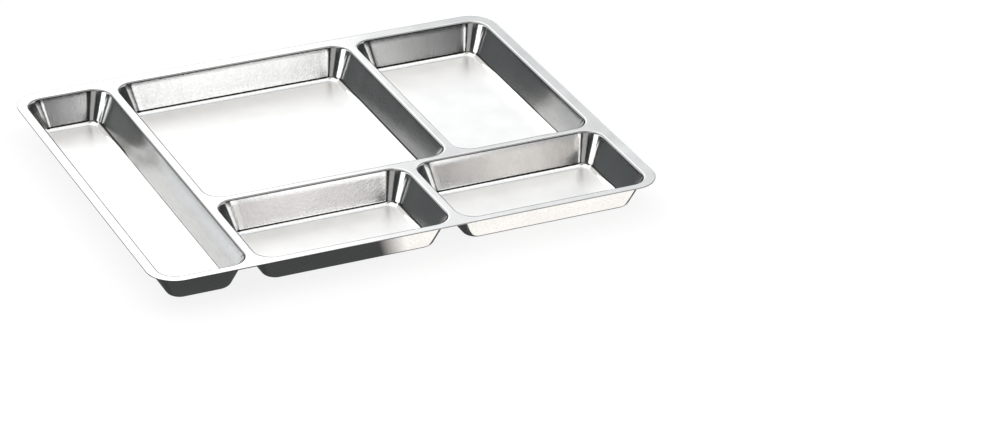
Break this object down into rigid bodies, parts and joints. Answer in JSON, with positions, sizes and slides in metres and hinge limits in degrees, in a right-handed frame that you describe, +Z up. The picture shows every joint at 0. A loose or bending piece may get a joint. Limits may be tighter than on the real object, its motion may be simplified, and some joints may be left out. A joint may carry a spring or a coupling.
{
  "type": "divided compartment plate",
  "caption": "Rectangular divided plate pressed from steel sheet: a flat rim with a long cutlery pocket beside square-cut drawn food pockets of different sizes.",
  "frame": {"origin": "under the middle of the plate, at the level of the pockets' flat undersides", "axes": "+X along the long side, away from the long cutlery pocket; +Y from the front row of pockets to the back row; +Z up out of the pockets"},
  "size_m": [0.4, 0.3116, 0.0248],
  "materials": {
    "satin_steel": "bright stainless sheet, satin with a fine grain on the drawn walls, polished by the press on the bends, with a smooth cut edge"
  },
  "bodies": {
    "root": {"rim_flange": "satin_steel", "cutlery_pocket": "satin_steel", "main_pocket": "satin_steel", "side_pocket": "satin_steel", "front_middle_pocket": "satin_steel", "front_right_pocket": "satin_steel"}
  },
  "joints": []
}
